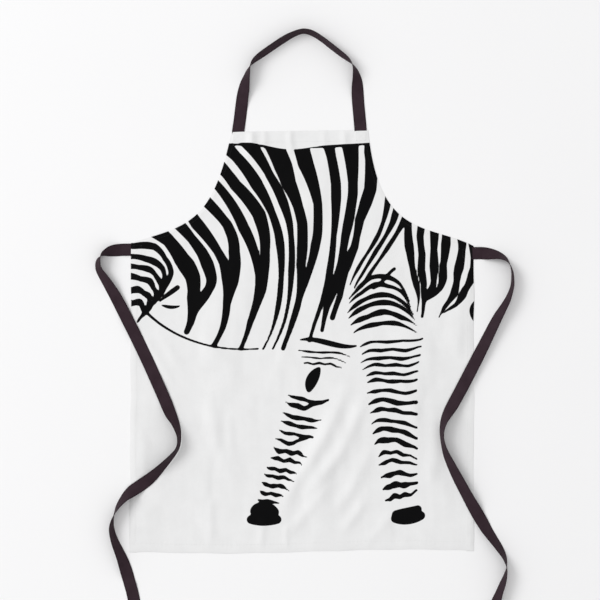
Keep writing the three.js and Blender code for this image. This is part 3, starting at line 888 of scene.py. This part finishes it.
# Striped print: families of curves between guide lines, in millimetres. Each family's
# stripes fill a share of the space to their neighbours and thin out at their ends, and a
# share of them leans into a neighbour, which makes a fork.
printPlan = {
    "flank": {"count": 13, "cover": (0.49, 0.75), "ends": (1, 0.4), "forks": 0.36, "guides": [
        [(-300, 124), (-226, 62), (-200, 9), (-236, -84)],
        [(-246, 168), (-158, 62), (-129, -11), (-186, -111)],
        [(-214, 226), (-98, 120), (-78, 1), (-139, -117)], [(-190, 272), (-61, 184), (-25, 11), (-98, -119)],
        [(-128, 304), (-6, 194), (-4, 1), (-65, -119)], [(-40, 302), (41, 174), (20, 1), (-25, -119)],
        [(62, 314), (98, 134), (57, 11), (20, -101)], [(148, 306), (134, 123), (81, 58), (65, -56)]]},
    "withers": {"count": 3, "cover": (0.45, 0.6), "ends": (0.9, 0.2), "forks": 0, "guides": [
        [(180, 206), (167, 91), (106, 58), (88, -15)], [(216, 164), (183, 78), (134, 46), (112, -12)]]},
    "rump": {"count": 6, "cover": (0.5, 0.65), "ends": (1, 0.5), "forks": 0.2, "guides": [
        [(-358, 91), (-269, 107), (-245, 29), (-294, -19)], [(-358, 38), (-298, 42), (-278, 1), (-306, -34)],
        [(-358, -28), (-327, -15), (-310, -36), (-335, -64)]]},
    "neck": {"count": 6, "cover": (0.5, 0.68), "ends": (1, 0.35), "forks": 0.2, "guides": [
        [(220, 152), (204, 58), (247, 18), (234, -44)], [(280, 128), (285, 29), (269, -19), (260, -68)],
        [(350, 104), (355, -3), (322, -19), (290, -46)]]},
    "shoulder": {"count": 6, "cover": (0.46, 0.62), "ends": (0.3, 0.3), "forks": 0, "guides": [
        [(94, -19), (147, 54), (200, 42), (226, -40)], [(90, -56), (130, -3), (204, -3), (236, -66)],
        [(102, -89), (143, -60), (196, -56), (245, -93)]]},
    "rightLeg": {"count": 17, "cover": (0.36, 0.55), "ends": (0.35, 0.6), "forks": 0.06, "guides": [
        [(114, -117), (151, -93), (200, -113), (245, -97)],
        [(130, -195), (167, -179), (192, -203), (232, -187)],
        [(147, -305), (175, -285), (204, -301), (234, -317)],
        [(171, -430), (192, -413), (208, -426), (234, -409)]]},
    "groin": {"count": 3, "cover": (0.3, 0.4), "ends": (0.6, 0.6), "forks": 0, "guides": [
        [(-8, -121), (32, -130), (57, -117), (98, -134)], [(4, -148), (30, -152), (50, -144), (80, -158)]]},
    "leftLeg": {"count": 13, "cover": (0.36, 0.54), "ends": (0.3, 0.3), "forks": 0.08, "guides": [
        [(-28, -212), (0, -222), (26, -234), (54, -224)], [(-61, -321), (-33, -338), (-8, -325), (8, -342)],
        [(-94, -427), (-78, -436), (-61, -427), (-43, -440)]]},
}
# Single strokes: four handles and the half width at the start, the middle and the end
strokePlan = {
    "belly": [[(-318, -44), (-265, -97), (-184, -126), (-90, -119)], (3, 2.2, 2)],
    "back": [[(-170, 300), (-90, 294), (30, 286), (150, 304)], (2, 2.5, 5)],
    "groin": [[(-4, -101), (32, -93), (73, -121), (110, -113)], (1.5, 10, 2)],
    "knee": [[(14, -203), (16, -187), (24, -174), (34, -160)], (5, 20, 4)],
    "elbow": [[(188, 44), (171, 32), (165, 14), (146, 6)], (3.5, 3, 4)],
    "rightHoof": [[(190, -465), (206, -469), (226, -466), (242, -459)], (9, 13, 9)],
    "rightPastern": [[(192, -457), (206, -455), (222, -452), (236, -446)], (9, 12, 8)],
    "leftHoof": [[(-104, -467), (-90, -470), (-66, -470), (-51, -467)], (9, 12, 9)],
    "leftPastern": [[(-95, -450), (-88, -445), (-70, -446), (-58, -452)], (11, 20, 11)],
    "hip": [[(-290, -22), (-277, -10), (-270, -6), (-254, 6)], (1.5, 6, 5)],
    "thigh": [[(-286, -30), (-274, -34), (-264, -36), (-250, -32)], (1.5, 6, 1.5)],
    "chest": [[(354, -24), (345, -36), (345, -48), (356, -64)], (4, 9, 4)],
}
inkPlan = {
    "seed": 34,
    "points": 110,
    "jitter": 0.13,  # of the space to a neighbour
    "startTaper": 0.18, "endTaper": 0.35,
    "leanFrom": (0.15, 0.55), "leanLength": 0.4,
    "waver": 0.16, "waverTurns": (1.6, 3.4),  # of the width
    "drift": (0.05, 0.12), "driftTurns": (1.4, 3.2),  # of the space
    "least": 1.3, "gone": -8,  # thinner ends of a stripe are left off
    "merge": 1.2,  # gaps between stripes narrower than about 1.4 times this close up
    "reach": 12,
}
# The line of the back, where the print stops: millimetres up, with a long dip and a small wave
crownPlan = {"level": 289, "rise": 12, "middle": -12, "reach": 125, "wave": 1.6, "waveLength": 21}


def zigzag(turns):
    # triangle wave between -1 and 1
    return 2 / math.pi * np.arcsin(np.sin(2 * math.pi * turns))


def printStrokes():
    # every stroke as a line with its half width: a family's handles are read off between
    # its guides, and half width = spacing * cover / 2, tapered, with a slow angular waver
    plan = inkPlan
    rng = np.random.default_rng(plan["seed"])
    t = np.linspace(0, 1, plan["points"])
    strokes = []
    for family in printPlan.values():
        guides = np.array(family["guides"], float)
        count, steps = family["count"], len(guides) - 1
        jitter = rng.uniform(-plan["jitter"], plan["jitter"], count) * steps / (count - 1)
        share = np.clip(np.linspace(0, steps, count) + jitter, 0, steps)
        handles = readOff(guides.reshape(len(guides), 8), range(len(guides)), share).reshape(count, 4, 2)
        lines = np.stack([bezier(four, t) for four in handles])
        gaps = np.linalg.norm(np.diff(lines, axis=0), axis=2)
        space = np.concatenate([gaps[:1], (gaps[1:] + gaps[:-1]) / 2, gaps[-1:]])
        first, last = family["ends"]
        taper = first + (1 - first) * ease(t / plan["startTaper"])
        taper *= last + (1 - last) * ease((1 - t) / plan["endTaper"])
        for index in range(1, count):
            chance, begin = rng.uniform(), rng.uniform(*plan["leanFrom"])
            lean = ease((t - begin) / plan["leanLength"])[:, None] * (chance < family["forks"])
            lines[index] += (lines[index - 1] - lines[index]) * lean
        for line, room in zip(lines, space):
            waver = 1 + plan["waver"] * zigzag(rng.uniform(*plan["waverTurns"]) * t + rng.uniform())
            half = 0.5 * rng.uniform(*family["cover"]) * room * taper * waver
            half[half < plan["least"]] = plan["gone"]
            drift = rng.uniform(*plan["drift"]) * room
            drift *= zigzag(rng.uniform(*plan["driftTurns"]) * t + rng.uniform())
            strokes.append((line + leftward(np.gradient(line, axis=0)) * drift[:, None], half))
    for handles, (start, middle, end) in strokePlan.values():
        half = (1 - t)**2 * start + 2 * t * (1 - t) * middle + t * t * end
        strokes.append((bezier(handles, t), half))
    return strokes


strokes = printStrokes()


def inkDepth(spots):
    # how far inside the print a spot lies, in millimetres, negative outside: each stroke's
    # largest half width minus distance, joined as merge * ln(sum of exp(depth / merge)) so
    # that forks have round crotches, and cut off along the line of the back
    flat = np.asarray(spots, float) * 1000
    merge = inkPlan["merge"]
    total = np.full(len(flat), math.exp(-inkPlan["reach"] / merge))
    for line, half in strokes:
        reach = inkPlan["reach"] + half.max()
        close = np.where(((flat > line.min(0) - reach) & (flat < line.max(0) + reach)).all(1))[0]
        for first in range(0, len(close), blockSize):
            block = close[first:first + blockSize]
            gap = np.sqrt(((flat[block, None] - line[None])**2).sum(2))
            total[block] += np.exp((half[None] - gap).max(1) / merge)
    x, y = flat.T
    plan = crownPlan
    crown = plan["level"] + plan["rise"] * ease(np.abs(x - plan["middle"]) / plan["reach"])
    crown += plan["wave"] * np.sin(x / plan["waveLength"])
    return np.minimum(merge * np.log(total), crown - y)


seamReach = 0.02


def seamGap(spots):
    # distance in millimetres to the nearest line of stitching
    gap = np.full(len(spots), seamReach)
    for line in seams.values():
        gap = np.minimum(gap, within(spots, line, seamReach)[0])
    return gap * 1000


def panelGrid():
    # rows run straight from the left edge to the right edge, drawn in by the roll's radius
    roll = panelPlan["roll"]
    sides = []
    for line, way in ((leftLine, 1), (rightLine, -1)):
        sides.append(line + leftward(np.gradient(line, axis=0)) * way * roll)
    left, right = sides
    for side in sides:
        side[0, 1] -= roll
        side[-1, 1] += roll
    share = np.linspace(0, 1, panelPlan["columns"] + 1)[None, :, None]
    return sagged(left[:, None] * (1 - share) + right[:, None] * share)


grid = panelGrid()
rows, columns = grid.shape[:2]
rim = np.concatenate([
    np.arange(columns - 1),
    np.arange(rows - 1) * columns + columns - 1,
    (rows - 1) * columns + np.arange(columns - 1, 0, -1),
    np.arange(rows - 1, 0, -1) * columns,
])
sheetSpots = grid.reshape(-1, 2)
sheetHeight = clothHeight(sheetSpots)
print("stage: cloth relief", sheetHeight.min().round(5), "to", sheetHeight.max().round(5))


def makePanel():
    # the top surface, whose rim goes on down round a half circle of the roll's radius and
    # a little way back underneath, as the turned hem does
    edge = sheetSpots[rim]
    outward = leftward(np.roll(edge, -1, axis=0) - np.roll(edge, 1, axis=0))
    low = panelPlan["underside"]
    rise = sheetHeight[rim] - low
    rings = []
    for angle in (35, 65, 90, 120, 150, 180):
        turn = math.radians(angle)
        spot = edge + outward * panelPlan["roll"] * math.sin(turn)
        rings.append(np.column_stack([spot, low + rise * (1 + math.cos(turn)) / 2]))
    rings.append(np.column_stack([edge - outward * panelPlan["turnIn"], np.full(len(edge), low)]))
    top = np.column_stack([sheetSpots, sheetHeight])
    points = np.vstack([top] + rings)
    faces = gridFaces(rows, columns)[:, ::-1]
    loops = [rim] + [len(top) + k * len(rim) + np.arange(len(rim)) for k in range(len(rings))]
    bands = [np.stack([a, np.roll(a, -1), np.roll(b, -1), b], 1) for a, b in zip(loops[:-1], loops[1:])]
    values = {"ink": inkDepth(points[:, :2]), "seam": seamGap(points[:, :2])}
    return newPiece("printed_panel", points, np.vstack([faces] + bands), printedCloth, values=values)


def makeBacking():
    # the cloth's unprinted reverse: every third point of the top surface, set a little lower
    step = panelPlan["backingStep"]
    picks = [np.unique(np.append(np.arange(0, count, step), count - 1)) for count in (rows, columns)]
    chosen = np.ix_(*picks)
    height = sheetHeight.reshape(rows, columns)[chosen] - panelPlan["backingDepth"]
    points = np.column_stack([grid[chosen].reshape(-1, 2), height.ravel()])
    return newPiece("cloth_reverse", points, gridFaces(*map(len, picks)), plainCloth)


hemShape = {
    "outer": 0.0011, "inner": 0.0005,  # in from the cloth's edge, and roundness of the fold
    "shoulders": (0.3, 0.7),  # shares of the height at the fold
    "drop": 0.0007, "least": 0.0003,  # under the top of the cloth, and thickness
}


def makeHem(part, name, node):
    # the folded strip under an edge: a rounded oblong of (distance in, level) carried along
    # the edge, its top following the underside of the cloth
    width, base = hemPlan[part]["width"], hemPlan[part]["base"]
    inner = np.linspace(hemShape["outer"], width - hemShape["inner"], 5)
    shoulders = [(width, share) for share in hemShape["shoulders"]]
    profile = np.array([(a, 0) for a in inner] + shoulders + [(a, 1) for a in inner[::-1]])
    spots = np.stack([inset(part, a) for a in profile[:, 0]], 1)
    count, corners = spots.shape[:2]
    flat = spots.reshape(-1, 2)
    ceiling = np.maximum(clothHeight(flat) - hemShape["drop"], base + hemShape["least"])
    level = np.tile(profile[:, 1], count)
    points = np.column_stack([flat, base + level * (ceiling - base)])
    hem = newPiece(name, points, tubeFaces(count, corners), plainCloth, closed=True)
    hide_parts(node)
    return hem


stitchPlan = {"pitch": 0.0035, "length": 0.0027, "radius": 0.00023}


def makeStitches(name, lines, material, level=None, pitch=stitchPlan["pitch"]):
    # one short thread after another: five rings of six points, thin and low at both ends,
    # set along the lines and resting on the cloth
    reach = np.array([-0.5, -0.34, 0, 0.34, 0.5]) * stitchPlan["length"] * pitch / stitchPlan["pitch"]
    thick = np.array([0.35, 0.9, 1, 0.9, 0.35]) * stitchPlan["radius"]
    lift = np.array([-0.00018, 0.00006, 0.00014, 0.00006, -0.00018])
    around = np.radians(np.arange(6) * 60)
    points = []
    for line in lines:
        run = alongLine(line)
        middle = np.arange(pitch * 0.6, run[-1] - pitch * 0.3, pitch)
        spot = readOff(line, run, middle)
        ahead = unit(readOff(np.gradient(line, axis=0), run, middle))
        centres = spot[:, None] + ahead[:, None] * reach[None, :, None]
        out = (thick[:, None] * np.cos(around)[None])[None, :, :, None]
        flat = centres[:, :, None] + leftward(ahead)[:, None, None] * out
        centres = centres.reshape(-1, 2)
        rest = np.full(len(centres), level) if level is not None else clothHeight(centres)
        tall = rest.reshape(len(spot), 5, 1) + lift[None, :, None] + (thick[:, None] * np.sin(around))[None]
        points.append(np.concatenate([flat, tall[..., None]], -1).reshape(-1, 3))
    points = np.vstack(points)
    each = gridFaces(5, 6, True)
    starts = np.arange(len(points) // 30) * 30
    faces = (each[None] + starts[:, None, None]).reshape(-1, 4).tolist()
    for start in starts:
        faces += [list(range(start + 5, start - 1, -1)), list(range(start + 24, start + 30))]
    return newPiece(name, points, faces, material, closed=True, values={"ink": inkDepth(points[:, :2])})


panel = makePanel()
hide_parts("front_panel")
backing = makeBacking()
print("stage: panel", len(panel.data.polygons) * 2, "triangles")

stems = {
    "top": "top_hem", "bottom": "bottom_hem", "leftSide": "left_side", "rightSide": "right_side",
    "leftArmhole": "left_armhole", "rightArmhole": "right_armhole",
}
hems = []
for part, stem in stems.items():
    hems.append(makeHem(part, f"{stem}_fold", stem if stem.endswith("_hem") else f"{stem}_hem"))
stitches = []
for part, stem in stems.items():
    run = makeStitches(f"{stem}_stitches", [seams[part]], sewingThread)
    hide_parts(f"{stem}_stitching")
    stitches.append(run)
for node in ("neck_left_tack", "neck_right_tack", "waist_left_tack", "waist_right_tack"):
    low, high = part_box(node)
    corners = np.array([(low.x, low.y), (high.x, low.y), (high.x, high.y), (low.x, high.y)])
    pairs = [(0, 1), (1, 2), (2, 3), (3, 0), (0, 2), (1, 3)]
    lines = [evenLine(corners[list(pair)], 40) for pair in pairs]
    tack = makeStitches(node + "_stitches", lines, sewingThread, pitch=0.003)
    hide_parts(node)
    stitches.append(tack)
for piece in [panel, backing] + hems + stitches:
    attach(piece, "apron")
print("stage: hems and stitching")

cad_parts["care_label"].data.materials.clear()
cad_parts["care_label"].data.materials.append(satinLabel)

for name, tie in ties.items():
    body = f"{name}_waist_tie"
    middle = tie["end"] - tie["out"] * tipPlan["stitchLine"]
    row = middle[:2] + np.outer([-tipPlan["stitchHalf"], tipPlan["stitchHalf"]], tie["width"][:2])
    lines = [evenLine(row + tie["out"][:2] * shift, 30) for shift in (0, tipPlan["rowGap"])]
    level = tie["end"][2] + tapePlan["thickness"] * 1.5 + tipPlan["gap"]
    sewn = makeStitches(f"{name}_tip_stitches", lines, darkThread, level=level, pitch=tipPlan["stitchPitch"])
    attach(tie["tip"], body)
    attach(sewn, body)
    seam = tie["seam"]
    away = np.array([tie["side"], -1, 0]) / math.sqrt(2)
    end = np.array([seam[0], seam[1], 0]) + away * 0.045
    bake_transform(tie["tape"])
print("stage: ties and bodies")

floorPlan = {
    "half": 9.0, "level": -0.00004,
    "light": (0.912, 0.91, 0.916, 1), "shade": (0.9, 0.898, 0.904, 1),
    "rough": 0.75, "gloss": 0.2,
}


def makeFloor():
    # a plain pale table top
    nodes = Nodes("paleFloor")
    place = nodes.add("TexCoord").outputs["Object"]
    color = nodes.blend(nodes.noise(place, 3.0), floorPlan["shade"], floorPlan["light"])
    nodes.shade({
        "Base Color": color, "Roughness": floorPlan["rough"], "Specular IOR Level": floorPlan["gloss"],
    })
    half = floorPlan["half"]
    low = floorPlan["level"]
    corners = [(-half, -half, low), (half, -half, low), (half, half, low), (-half, half, low)]
    newPiece("floor", corners, [[0, 1, 2, 3]], nodes.material, smooth=False)


makeFloor()
print("stage: floor")
